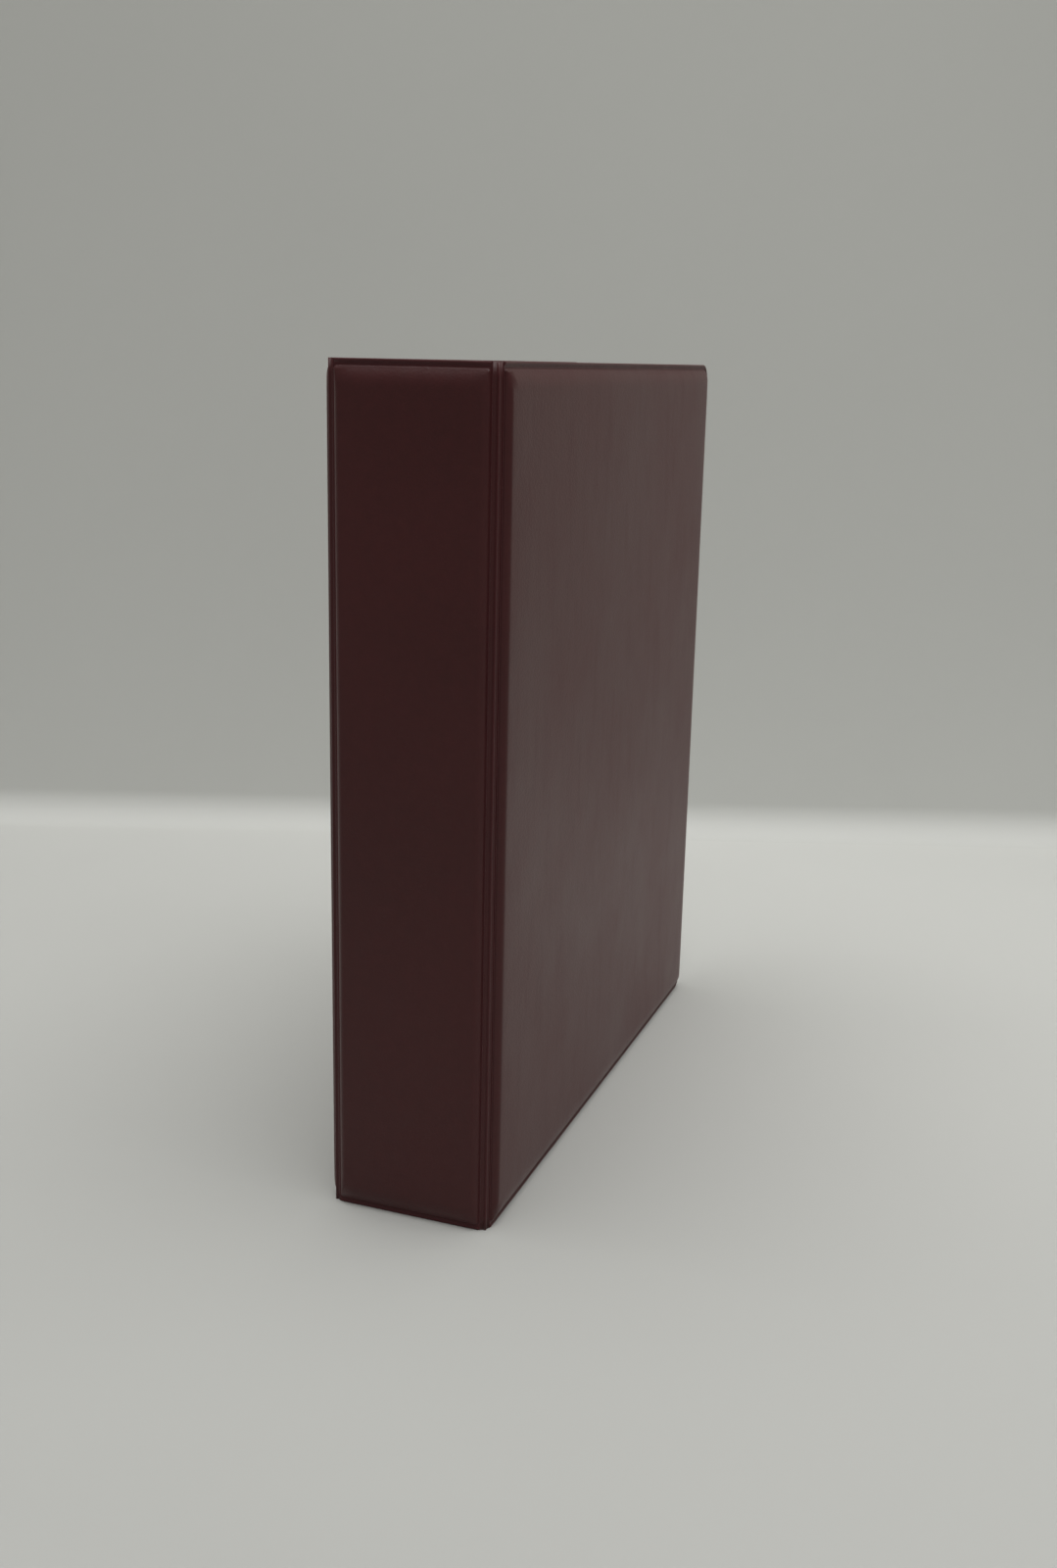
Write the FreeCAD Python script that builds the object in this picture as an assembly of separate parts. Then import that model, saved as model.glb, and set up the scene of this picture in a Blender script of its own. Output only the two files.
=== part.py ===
import FreeCAD, Part
import math
import os

# Ring binder for US Letter sheets, standing closed on its bottom edge. Millimetres.
# +Z is up. The spine faces -Y, the fore-edge is at +Y, the front cover is at +X and the
# back cover at -X. The origin is on the ground, under the middle of the closed case.

# ---- case ----
case_height = 292.1
case_depth = 254.0
case_thickness = 63.5

outer_vinyl = 0.3
board_thickness = 2.0
inner_vinyl = 0.25
weld_flange = 1.8
hinge_flange = 0.5
edge_round = 2.0
fore_corner_radius = 7.0
fore_board_corner_radius = 5.0
hinge_corner_radius = 0.3
hinge_corner_over_round = 0.4
web_radius = 2.5

# ---- inside pockets ----
pocket_vinyl = 0.3
front_pocket_height = 150.0
back_pocket_height = 150.0
pocket_margin = 9.0
back_pocket_to_plate = 8.0
pocket_corner_radius = 4.0

# ---- ring mechanism: distances across the case are measured from the spine's outer face ----
ring_spacing = 107.95
ring_wire_diameter = 4.0
ring_leg_from_wall = 4.5
ring_to_front_liner = 9.4
straight_leg_from_spine = 45.0
curved_side_from_spine = 12.5
straight_bend_radius = 5.0
curved_top_radius = 19.0
curved_low_radius = 11.0
curved_foot_radius = 3.0
curved_foot_height = 10.5
curved_side_low_height = 15.0
ring_tip_gap = 0.1
ring_tongue_length = 1.5
ring_tongue_radius = 1.3
wire_end_below_blade = 0.5
wire_least_straight = 0.5

plate_from_case_end = 15.05
plate_width = 24.0
plate_sheet = 1.0
plate_crown_rise = 1.1
plate_shoulder_round = 1.5
plate_roll_diameter = 2.9
slot_clearance = 0.4

blade_thickness = 1.0
blade_over_roll = 0.4
blade_pivot_from_wall = 0.8
blade_edge_clearance = 0.3
blade_middle_gap = 0.3
blade_tilt = 7.0
blade_swing_clearance = 0.35
post_notch_clearance = 0.8

# ---- trigger levers ----
pin_diameter = 2.2
pin_from_plate_end = 5.0
pin_height = 3.9
pin_peen = 0.3
pin_running_clearance = 0.05
lever_from_plate_side = 3.5
lever_sheet = 1.6
lever_hub_radius = 2.3
lever_arm_length = 13.0
lever_arm_lean = 15.0
lever_pad_length = 6.0
lever_pad_lean = 45.0
lever_corner_radius = 3.0
lever_side_clearance = 0.6
lever_end_clearance = 0.3
foot_reach = 4.2
foot_width = 6.0
foot_thickness = 1.0
foot_clearance = 0.3

# ---- rivets ----
rivet_from_ring = 22.95
rivet_shank_diameter = 5.0
rivet_hole_clearance = 0.1
rivet_head_diameter = 9.0
rivet_head_height = 1.1
rivet_cap_diameter = 11.0
rivet_cap_height = 1.2

# ---- what follows from the sizes above ----
panel_thickness = inner_vinyl + board_thickness + outer_vinyl
panel_round = min(edge_round, board_thickness)
hinge_board_corner_radius = edge_round + hinge_corner_over_round
flange_thickness = inner_vinyl + outer_vinyl
spine_face_y = -case_depth / 2
half_case = case_thickness / 2
middle_z = case_height / 2
liner_face_x = half_case - panel_thickness
web_start_x = liner_face_x + flange_thickness / 2 - web_radius
cover_start_y = spine_face_y + panel_thickness - flange_thickness / 2 + web_radius
cover_end_y = case_depth / 2
cover_width = cover_end_y - cover_start_y

wire_radius = ring_wire_diameter / 2
plate_length = case_height - 2 * plate_from_case_end
plate_half_width = plate_width / 2
channel_half_width = plate_half_width - plate_sheet
ring_leg_from_middle = channel_half_width - ring_leg_from_wall
blade_pivot_offset = channel_half_width - blade_pivot_from_wall
blade_pivot_height = plate_roll_diameter + blade_over_roll + blade_thickness / 2
closed_dip = math.tan(math.radians(blade_tilt))
half_blade_upright = blade_thickness / 2 / math.cos(math.radians(blade_tilt))
blade_swing_rise = blade_pivot_offset * closed_dip + half_blade_upright
plate_crown_height = blade_pivot_height + blade_swing_rise + blade_swing_clearance + plate_sheet
plate_shoulder_height = plate_crown_height - plate_crown_rise
mechanism_x = -liner_face_x
mechanism_y = spine_face_y + straight_leg_from_spine - ring_leg_from_middle
curved_side_offset = spine_face_y + curved_side_from_spine - mechanism_y
ring_inner_height = 2 * liner_face_x - ring_to_front_liner - ring_wire_diameter - plate_crown_height
ring_top_height = plate_crown_height + ring_inner_height + wire_radius
plate_low_z = middle_z - plate_length / 2
plate_high_z = middle_z + plate_length / 2
pin_spacing = plate_length - 2 * pin_from_plate_end
lever_width = plate_width - 2 * lever_from_plate_side
blade_half_length = pin_spacing / 2 - lever_hub_radius - lever_end_clearance
ring_levels = [middle_z + step * ring_spacing for step in (-1, 0, 1)]
rivet_spacing = 2 * (ring_spacing - rivet_from_ring)
rivet_levels = [middle_z + side * rivet_spacing / 2 for side in (-1, 1)]


def vec(x, y, z):
    return FreeCAD.Vector(x, y, z)


def mech(across, height, z):
    """Point of the ring mechanism: across from its middle (+ away from the spine), height above the liner."""
    return vec(mechanism_x + height, mechanism_y + across, z)


def polygon(points):
    return Part.Face(Part.makePolygon(points + points[:1]))


# ---- case panels, built lying along X with the inner face at Y = 0 ----

def rounded_plate(start, end, bottom, top, start_radius, end_radius, low, high):
    """Upright plate from depth low to depth high, with a corner radius for each upright side."""
    diagonal = math.sqrt(0.5)
    corners = [
        (start, bottom, start_radius, 1, 1),
        (end, bottom, end_radius, -1, 1),
        (end, top, end_radius, -1, -1),
        (start, top, start_radius, 1, -1),
    ]
    rounds = []
    for x, z, radius, inward_x, inward_z in corners:
        centre = vec(x + inward_x * radius, low, z + inward_z * radius)
        beside = vec(x, low, centre.z)
        level = vec(centre.x, low, z)
        middle = centre - vec(inward_x * radius * diagonal, 0, inward_z * radius * diagonal)
        leaves_level = inward_x == inward_z
        rounds.append((beside, middle, level) if leaves_level else (level, middle, beside))
    edges = []
    for index, (first, middle, last) in enumerate(rounds):
        edges.append(Part.Arc(first, middle, last).toShape())
        following = rounds[(index + 1) % len(rounds)][0]
        edges.append(Part.LineSegment(last, following).toShape())
    face = Part.Face(Part.Wire(edges))
    return face.extrude(vec(0, high - low, 0))


def round_face_edges(solid, depth, radius):
    """Round every edge of the solid that lies at the given depth."""
    tolerance = 1e-6
    edges = [e for e in solid.Edges if all(abs(v.Point.y - depth) < tolerance for v in e.Vertexes)]
    return solid.makeFillet(radius, edges)


def panel(width, start_margin, end_margin, start_radii, end_radii):
    """Board between a formed outer skin and a flat liner: returns outer skin, board and liner."""
    inner = inner_vinyl
    block_bottom = weld_flange
    block_top = case_height - weld_flange
    block = rounded_plate(start_margin, width - end_margin, block_bottom, block_top,
                          start_radii[1], end_radii[1], inner, panel_thickness)
    block = round_face_edges(block, panel_thickness, panel_round)
    board = rounded_plate(start_margin + outer_vinyl, width - end_margin - outer_vinyl,
                          block_bottom + outer_vinyl, block_top - outer_vinyl,
                          start_radii[1] - outer_vinyl, end_radii[1] - outer_vinyl,
                          inner, inner + board_thickness)
    board = round_face_edges(board, inner + board_thickness, panel_round - outer_vinyl)
    flange = rounded_plate(0, width, 0, case_height, start_radii[0], end_radii[0],
                           inner, flange_thickness)
    liner = rounded_plate(0, width, 0, case_height, start_radii[0], end_radii[0], 0, inner)
    skin = flange.fuse(block).cut(board)
    return skin.removeSplitter(), board, liner


def place_on_spine(shape):
    placed = shape.copy()
    placed.rotate(vec(0, 0, 0), vec(0, 0, 1), 180)
    placed.translate(vec(web_start_x, spine_face_y + panel_thickness, 0))
    return placed


def place_on_back(shape):
    placed = shape.copy()
    placed.rotate(vec(0, 0, 0), vec(0, 0, 1), 90)
    placed.translate(vec(-liner_face_x, cover_start_y, 0))
    return placed


def mirrored(shape):
    """The same shape on the other side of the case."""
    return shape.mirror(vec(0, 0, 0), vec(1, 0, 0))


def hinge_radii():
    return hinge_corner_radius, hinge_board_corner_radius


def fore_radii():
    return fore_corner_radius, fore_board_corner_radius


def spine_panel():
    layers = panel(2 * web_start_x, hinge_flange, hinge_flange, hinge_radii(), hinge_radii())
    return [place_on_spine(layer) for layer in layers]


def cover_panel():
    """The back cover's layers, without rivet holes."""
    layers = panel(cover_width, hinge_flange, weld_flange, hinge_radii(), fore_radii())
    return [place_on_back(layer) for layer in layers]


def hinge_web():
    """Quarter-round strip of doubled vinyl between the spine's and the front cover's flanges."""
    outer_radius = web_radius + flange_thickness / 2
    inner_radius = web_radius - flange_thickness / 2
    centre = vec(web_start_x, cover_start_y, 0)
    height = case_height
    outer = Part.makeCylinder(outer_radius, height, centre, vec(0, 0, 1), 90)
    inner = Part.makeCylinder(inner_radius, height, centre, vec(0, 0, 1), 90)
    strip = outer.cut(inner)
    strip.rotate(centre, vec(0, 0, 1), -90)
    return strip


def pocket(start_from_spine, height):
    """Vinyl pocket sheet on the back cover's liner, open at its top edge."""
    start = spine_face_y + start_from_spine - cover_start_y
    end = cover_width - pocket_margin
    sheet = rounded_plate(start, end, pocket_margin, pocket_margin + height,
                          pocket_corner_radius, pocket_corner_radius, -pocket_vinyl, 0)
    return place_on_back(sheet)


# ---- ring mechanism ----

def plate_arch(half_width, shoulder, crown, bottom):
    """Upright-walled arch along the whole plate: its outside, or its hollow."""
    z = plate_low_z
    left = mech(-half_width, shoulder, z)
    right = mech(half_width, shoulder, z)
    edges = [
        Part.LineSegment(mech(-half_width, bottom, z), left).toShape(),
        Part.Arc(left, mech(0, crown, z), right).toShape(),
        Part.LineSegment(right, mech(half_width, bottom, z)).toShape(),
        Part.LineSegment(mech(half_width, bottom, z), mech(-half_width, bottom, z)).toShape(),
    ]
    return Part.Face(Part.Wire(edges)).extrude(vec(0, 0, plate_length))


def round_shoulders(solid):
    """Round the two long edges where the plate's crown meets its side walls."""
    tolerance = 1e-6
    shoulder_x = mechanism_x + plate_shoulder_height
    edges = []
    for edge in solid.Edges:
        on_shoulder = all(abs(v.Point.x - shoulder_x) < tolerance for v in edge.Vertexes)
        if on_shoulder and abs(edge.Length - plate_length) < tolerance:
            edges.append(edge)
    return solid.makeFillet(plate_shoulder_round, edges)


def wire_slots():
    """Slots in the crown that leave the ring legs room to swing."""
    swing = math.radians(2 * blade_tilt)
    rise = plate_crown_height - blade_pivot_height
    lateral = rise * math.sin(swing) + (blade_pivot_offset - ring_leg_from_middle) * (1 - math.cos(swing))
    near = ring_leg_from_middle - wire_radius - slot_clearance
    far = ring_leg_from_middle + wire_radius + lateral + slot_clearance
    width = ring_wire_diameter + 2 * slot_clearance
    slots = []
    for z in ring_levels:
        for side in (-1, 1):
            low = min(side * near, side * far)
            corner = mech(low, blade_pivot_height, z - width / 2)
            slots.append(Part.makeBox(plate_crown_height, far - near, width, corner))
    return slots


def cover_plate():
    outside = round_shoulders(
        plate_arch(plate_half_width, plate_shoulder_height, plate_crown_height, plate_roll_diameter / 2))
    hollow = plate_arch(channel_half_width, plate_shoulder_height - plate_sheet,
                        plate_crown_height - plate_sheet, 0)
    plate = outside.cut(hollow)
    roll_radius = plate_roll_diameter / 2
    for side in (-1, 1):
        centre = mech(side * (plate_half_width - roll_radius), roll_radius, plate_low_z)
        plate = plate.fuse(Part.makeCylinder(roll_radius, plate_length, centre, vec(0, 0, 1)))
    notch_half_width = lever_width / 2 + lever_side_clearance
    notch_length = pin_from_plate_end + lever_hub_radius + lever_end_clearance + lever_sheet
    for z in (plate_low_z, plate_high_z - notch_length):
        corner = mech(-notch_half_width, blade_pivot_height, z)
        plate = plate.cut(Part.makeBox(plate_crown_height, 2 * notch_half_width, notch_length, corner))
    for z in rivet_levels:
        plate = plate.cut(rivet_shank(z, 0))
    for slot in wire_slots():
        plate = plate.cut(slot)
    for side in (-1, 1):
        plate = plate.cut(trigger_pin(side, 0))
    return plate.removeSplitter()


def rivet_shank(z, clearance):
    """Straight shank from the plate's crown to the back cover's outer face."""
    length = plate_crown_height + panel_thickness
    radius = rivet_shank_diameter / 2 + clearance
    return Part.makeCylinder(radius, length, mech(0, -panel_thickness, z), vec(1, 0, 0))


def dome(diameter, height, centre, outward):
    """Low round dome on a flat base."""
    radius = diameter / 2
    ball_radius = (radius * radius + height * height) / (2 * height)
    ball_centre = centre - outward * (ball_radius - height)
    ball = Part.makeSphere(ball_radius, ball_centre)
    keep = Part.makeCylinder(radius, height, centre, outward)
    return ball.common(keep)


def rivet_posts(plate):
    """Shanks with domed heads that sit on the plate's crown."""
    posts = []
    for z in rivet_levels:
        seat = plate_crown_height - plate_sheet / 2
        skirt = Part.makeCylinder(rivet_head_diameter / 2, plate_sheet / 2, mech(0, seat, z), vec(1, 0, 0))
        head = dome(rivet_head_diameter, rivet_head_height, mech(0, plate_crown_height, z), vec(1, 0, 0))
        posts.append(rivet_shank(z, 0).fuse(skirt).fuse(head).cut(plate).removeSplitter())
    return Part.makeCompound(posts)


def rivet_caps():
    """Domed caps on the outside of the back cover."""
    outer_face = -panel_thickness
    caps = [dome(rivet_cap_diameter, rivet_cap_height, mech(0, outer_face, z), vec(-1, 0, 0))
            for z in rivet_levels]
    return Part.makeCompound(caps)


def rounded_path(corners, radii):
    """Wire through the corners, with a tangent arc at each inner corner, smaller where the runs are short."""
    bends = []
    for before, corner, after in zip(corners, corners[1:], corners[2:]):
        back = (before - corner).normalize()
        ahead = (after - corner).normalize()
        bends.append((corner, back, ahead, back.getAngle(ahead) / 2))
    setbacks = [radius / math.tan(bend[3]) for radius, bend in zip(radii, bends)]
    runs = [(last - first).Length for first, last in zip(corners, corners[1:])]
    shares = [1]
    for run, near, far in zip(runs, [0] + setbacks, setbacks + [0]):
        shares.append((run - wire_least_straight) / (near + far))
    share = min(shares)
    edges = []
    current = corners[0]
    for (corner, back, ahead, half_angle), full_radius, full_setback in zip(bends, radii, setbacks):
        radius = full_radius * share
        enter = corner + back * full_setback * share
        leave = corner + ahead * full_setback * share
        centre = corner + (back + ahead).normalize() * (radius / math.sin(half_angle))
        middle = centre + (corner - centre).normalize() * radius
        edges.append(Part.LineSegment(current, enter).toShape())
        edges.append(Part.Arc(enter, middle, leave).toShape())
        current = leave
    edges.append(Part.LineSegment(current, corners[-1]).toShape())
    return Part.Wire(edges)


def wire_along(corners, radii):
    """Round wire along a path of straight runs and tangent arcs."""
    path = rounded_path(corners, radii)
    direction = (corners[1] - corners[0]).normalize()
    circle = Part.Wire(Part.makeCircle(wire_radius, corners[0], direction))
    return path.makePipeShell([circle], True, False)


def blade_underside(across):
    """Height of the closed blade's underside at a distance from the mechanism's middle."""
    return blade_pivot_height - (blade_pivot_offset - across) * closed_dip - half_blade_upright


def wire_end_height():
    return blade_underside(ring_leg_from_middle - wire_radius) - wire_end_below_blade


def tip_cone(z, start, length):
    """Cone along the ring's top that points away from the spine: a tongue, or the socket for it."""
    return Part.makeCone(ring_tongue_radius, 0, length, mech(start, ring_top_height, z), vec(0, 1, 0))


def straight_ring_half(z):
    """Leg on the side away from the spine, bent over at its top, with a socket in its tip."""
    corners = [
        mech(ring_leg_from_middle, wire_end_height(), z),
        mech(ring_leg_from_middle, ring_top_height, z),
        mech(ring_tip_gap / 2, ring_top_height, z),
    ]
    half = wire_along(corners, [straight_bend_radius])
    socket = tip_cone(z, ring_tip_gap / 2, ring_tongue_length + ring_tip_gap)
    return half.cut(socket)


def curved_ring_half(z):
    """Half that bows out towards the spine and comes back over the top, with a pointed tip."""
    corners = [
        mech(-ring_leg_from_middle, wire_end_height(), z),
        mech(-ring_leg_from_middle, curved_foot_height, z),
        mech(curved_side_offset, curved_side_low_height, z),
        mech(curved_side_offset, ring_top_height, z),
        mech(-ring_tip_gap / 2, ring_top_height, z),
    ]
    half = wire_along(corners, [curved_foot_radius, curved_low_radius, curved_top_radius])
    tongue = tip_cone(z, -ring_tip_gap / 2, ring_tongue_length)
    return half.fuse(tongue).removeSplitter()


def blade(side, rings):
    """Steel strip in its closed tilt: side +1 carries the straight halves, -1 the curved halves."""
    inner = blade_middle_gap / 2
    outer = channel_half_width - blade_edge_clearance
    low = blade_pivot_height - blade_thickness / 2
    bottom_z = middle_z - blade_half_length
    corner = mech(min(side * inner, side * outer), low, bottom_z)
    strip = Part.makeBox(blade_thickness, outer - inner, 2 * blade_half_length, corner)
    pivot = mech(side * blade_pivot_offset, blade_pivot_height, 0)
    strip.rotate(pivot, vec(0, 0, 1), -side * blade_tilt)
    for z in rivet_levels:
        strip = strip.cut(rivet_shank(z, post_notch_clearance))
    for ring in rings:
        strip = strip.cut(ring)
    return strip


# ---- trigger levers: side +1 is the top one, -1 the bottom one ----

def lever_point(side, outward, height):
    """Point in the lever's middle plane: outward from its pin towards the plate's end."""
    pin_z = middle_z + side * pin_spacing / 2
    return mech(0, pin_height + height, pin_z + side * outward)


def trigger_pin(side, growth):
    """Pin across the plate's side walls, with its ends peened just outside them."""
    length = plate_width + 2 * pin_peen
    pin_z = middle_z + side * pin_spacing / 2
    radius = pin_diameter / 2 + growth
    return Part.makeCylinder(radius, length, mech(-length / 2, pin_height, pin_z), vec(0, 1, 0))


def leaning(length, lean):
    """Outward and upward parts of a run that leans from upright by an angle in degrees."""
    angle = math.radians(lean)
    return length * math.sin(angle), length * math.cos(angle)


def lever_arm(side):
    """Bent sheet arm: a leaning run and a pad that leans further out, with round top corners."""
    arm_out, arm_up = leaning(lever_arm_length, lever_arm_lean)
    pad_out, pad_up = leaning(lever_pad_length, lever_pad_lean)
    arm_side = leaning(lever_sheet, lever_arm_lean + 90)
    pad_side = leaning(lever_sheet, lever_pad_lean + 90)
    bend_side = leaning(lever_sheet, (lever_arm_lean + lever_pad_lean) / 2 + 90)
    outline = [
        (0, 0),
        (arm_out, arm_up),
        (arm_out + pad_out, arm_up + pad_up),
        (arm_out + pad_out + pad_side[0], arm_up + pad_up + pad_side[1]),
        (arm_out + bend_side[0], arm_up + bend_side[1]),
        (arm_side[0], arm_side[1]),
    ]
    half = vec(0, lever_width / 2, 0)
    face = polygon([lever_point(side, outward, height) - half for outward, height in outline])
    arm = face.extrude(half * 2)
    top_height = arm_up + pad_up
    keep = lever_front_outline(side, top_height)
    return arm.common(keep)


def lever_front_outline(side, top_height):
    """Outline of the lever seen along Z, with round corners at its top, as a block."""
    depth = lever_arm_length + lever_pad_length
    start = lever_point(side, -depth, -lever_hub_radius)
    reach = lever_hub_radius + top_height
    corner = vec(start.x, start.y - lever_width / 2, min(start.z, start.z + side * 2 * depth))
    block = Part.makeBox(reach, lever_width, 2 * depth, corner)
    tolerance = 1e-6
    edges = []
    for edge in block.Edges:
        at_top = all(abs(v.Point.x - start.x - reach) < tolerance for v in edge.Vertexes)
        if at_top and abs(edge.Length - 2 * depth) < tolerance:
            edges.append(edge)
    return block.makeFillet(lever_corner_radius, edges)


def lever_foot(side):
    """Foot that reaches inward under the blades' ends."""
    top = blade_underside(0) - foot_clearance - pin_height
    bottom = top - foot_thickness
    outline = [(0, bottom), (-foot_reach, bottom), (-foot_reach, top), (0, top)]
    half = vec(0, foot_width / 2, 0)
    face = polygon([lever_point(side, outward, height) - half for outward, height in outline])
    return face.extrude(half * 2)


def trigger(side):
    hub_start = lever_point(side, 0, 0) - vec(0, lever_width / 2, 0)
    hub = Part.makeCylinder(lever_hub_radius, lever_width, hub_start, vec(0, 1, 0))
    lever = hub.fuse([lever_arm(side), lever_foot(side)])
    return lever.cut(trigger_pin(side, pin_running_clearance)).removeSplitter()


# ---- the whole binder ----

def drilled(layer):
    """A back cover layer with its two rivet holes."""
    for z in rivet_levels:
        layer = layer.cut(rivet_shank(z, rivet_hole_clearance))
    return layer


def binder():
    spine_skin, spine_board, spine_liner = spine_panel()
    back_skin, back_board, back_liner = cover_panel()
    web = hinge_web()
    back_pocket_start = mechanism_y - spine_face_y + plate_half_width + back_pocket_to_plate
    front_pocket_start = cover_start_y - spine_face_y + pocket_margin
    plate = cover_plate()
    nodes = {
        "spine_outer_vinyl": spine_skin,
        "spine_board": spine_board,
        "spine_inner_liner": spine_liner,
        "front_outer_vinyl": mirrored(back_skin),
        "front_board": mirrored(back_board),
        "front_inner_liner": mirrored(back_liner),
        "front_pocket": mirrored(pocket(front_pocket_start, front_pocket_height)),
        "back_outer_vinyl": drilled(back_skin),
        "back_board": drilled(back_board),
        "back_inner_liner": drilled(back_liner),
        "back_pocket": pocket(back_pocket_start, back_pocket_height),
        "front_hinge_web": web,
        "back_hinge_web": mirrored(web),
        "ring_cover_plate": plate,
        "rivet_posts": rivet_posts(plate),
        "rivet_caps": rivet_caps(),
        "trigger_top": trigger(1),
        "trigger_bottom": trigger(-1),
        "trigger_pin_top": trigger_pin(1, 0),
        "trigger_pin_bottom": trigger_pin(-1, 0),
    }
    straight_halves = [straight_ring_half(z) for z in ring_levels]
    curved_halves = [curved_ring_half(z) for z in ring_levels]
    for level, straight, curved in zip(("bottom", "middle", "top"), straight_halves, curved_halves):
        nodes["straight_ring_half_" + level] = straight
        nodes["curved_ring_half_" + level] = curved
    nodes["straight_side_blade"] = blade(1, straight_halves)
    nodes["curved_side_blade"] = blade(-1, curved_halves)
    return nodes


os.makedirs("parts", exist_ok=True)
for name, shape in binder().items():
    shape.exportStep("parts/" + name + ".step")
    print(name, len(shape.Solids), "solid", round(shape.Volume, 1), "mm3", shape.isValid())
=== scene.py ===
import math

import bmesh
import bpy
from mathutils import Matrix, Vector, noise


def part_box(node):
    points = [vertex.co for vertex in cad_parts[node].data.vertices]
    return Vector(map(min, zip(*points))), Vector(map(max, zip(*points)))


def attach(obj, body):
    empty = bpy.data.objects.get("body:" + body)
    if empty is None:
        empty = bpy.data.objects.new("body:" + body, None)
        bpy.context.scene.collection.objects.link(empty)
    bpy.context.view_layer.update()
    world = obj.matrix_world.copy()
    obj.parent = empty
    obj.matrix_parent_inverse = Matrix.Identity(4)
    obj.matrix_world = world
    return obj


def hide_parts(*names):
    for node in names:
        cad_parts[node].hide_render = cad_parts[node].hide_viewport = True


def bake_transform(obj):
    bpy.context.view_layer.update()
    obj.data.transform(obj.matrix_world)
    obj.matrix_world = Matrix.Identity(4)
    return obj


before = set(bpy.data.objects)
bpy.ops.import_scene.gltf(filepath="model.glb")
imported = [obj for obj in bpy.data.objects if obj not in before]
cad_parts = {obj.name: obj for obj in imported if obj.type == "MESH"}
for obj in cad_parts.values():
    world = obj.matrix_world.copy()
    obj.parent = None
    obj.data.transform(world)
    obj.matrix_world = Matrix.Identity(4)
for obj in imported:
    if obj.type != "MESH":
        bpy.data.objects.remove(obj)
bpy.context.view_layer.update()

# A closed, standing ring binder: welded maroon vinyl over boards, with a nickel plated ring mechanism.
# Metres. The spine faces -Y, the front cover is at +X, the back cover at -X.

MM = 0.001

# ---- panels: skin, weld and board; distances are in from a panel's rim ----
SKIN = 0.3 * MM                         # thickness of the outer vinyl
WELD_FLANGE = 1.8 * MM                  # width of the flat weld outside a free edge
FLANGE_WAVE = 0.10 * MM
HINGE_FLANGE = 0.5 * MM                 # width and height of the narrower one beside a hinge web
HINGE_FOOT = 0.12 * MM
HINGE_SQUEEZE = 0.38                    # share of the shoulder's width that is left beside a hinge web
FORE_RADII = (7.0 * MM, 5.0 * MM)       # corner radii at the rim and at the weld's inner edge
HINGE_RADII = (0.3 * MM, 1.4 * MM)
ROUND_STARTS = 2.50 * MM                # the soft shoulder over the board's crushed edge
ROUND_REACH = 6.0 * MM
ROUND_LOOPS = (0.0, 0.012, 0.035, 0.08, 0.15, 0.24, 0.35, 0.47, 0.60, 0.74, 0.88, 1.0)
SHOULDER_FOOT = 0.75 * MM
BOARD_STARTS = 2.60 * MM
BOARD_FOOT = 0.3 * MM
BOARD_BACK = 15.0 * MM
SKIN_TO_BOARD = 0.35 * MM
PUFF = 0.30 * MM                        # how far the skin stands off the board
PUFF_STARTS = 3.2 * MM
PUFF_REACH = 4.0 * MM
PUFF_LOOPS = (10.0, 12.5, 16.0)         # in millimetres
RIVET_DIMPLE = 9.0 * MM                 # how far round a rivet the skin is pulled down
CELL = 5.0 * MM                         # mesh size over the flat
ARC_STEPS = 8

# ---- unevenness of the panels ----
WAVE = 0.06 * MM
BOW = 2.5                               # height of a panel's bow, in waves
LONG_WAVE, SHORT_WAVE, STRIPE_WAVE, EDGE_WAVE = 0.09, 0.035, 0.025, 0.02
STRIPE_STRETCH = 0.15
WAVE_FADE = 8.0 * MM
LINER_WAVE = 0.05 * MM
LINER_WAVELENGTH = 0.05
LINER_WAVE_STARTS = 2.0 * MM
LINER_WAVE_FADE = 6.0 * MM

# ---- liners: the pressed weld line ----
LINER_RIM = 0.04 * MM
LINER_GROOVE = 0.45                     # share of the thickness that is left in the line
LINER_MIDDLE = 9.0 * MM

# ---- hinge webs ----
WEB_STEPS = 48
WEB_SAG = 0.45 * MM
WEB_SWAY = 0.05 * MM
SWAY_WAVE = 0.03
BEAD_HEIGHT = 0.36 * MM
BEAD_WIDTH = 0.36 * MM
GROOVE_DEPTH = 0.42 * MM
GROOVE_AT = 0.70 * MM
WEB_LAP = 0.30 * MM                     # how far a web runs on inside the panels' edges
WEB_LAP_STEP = 0.08 * MM

# ---- how much of the redder, pressed tone shows, from 0 to 1; on the flanges and the bead it is partly a painted highlight ----
FLANGE_TONE_ENDS = 0.85                 # in flange widths from the rim, and so is the fade
FLANGE_TONE_FADE = 0.5
WEB_TONE = 0.1
BEAD_TONE = 0.6
BEAD_TONE_WIDTH = 0.12                  # share of the web's arc
POCKET_TONE = 0.6
POCKET_TONE_WIDTH = 2.2 * MM

# ---- pockets ----
POCKET_CELL = 0.6 * CELL
POCKET_SHEET = 0.25 * MM
POCKET_CORNER = 4.0 * MM
POCKET_BULGE = 0.9 * MM
POCKET_WELD = 1.6 * MM
POCKET_SIDE_RISE = 14.0 * MM
POCKET_FOOT_RISE = 30.0 * MM
POCKET_FOOT_SHARE = 0.25                # of the bulge, at the bottom
POCKET_SLACK = 0.35
POCKET_WAVE = 0.06
POCKET_GROOVE = 0.1 * MM
POCKET_GROOVE_AT = 1.0 * MM
POCKET_GROOVE_WIDTH = 0.35 * MM

# ---- rounding of the steel pieces' cut edges ----
SHEET_EDGE = 0.12 * MM
LEVER_EDGE = 0.20 * MM
SHARP_EDGE = math.radians(35)

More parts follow.
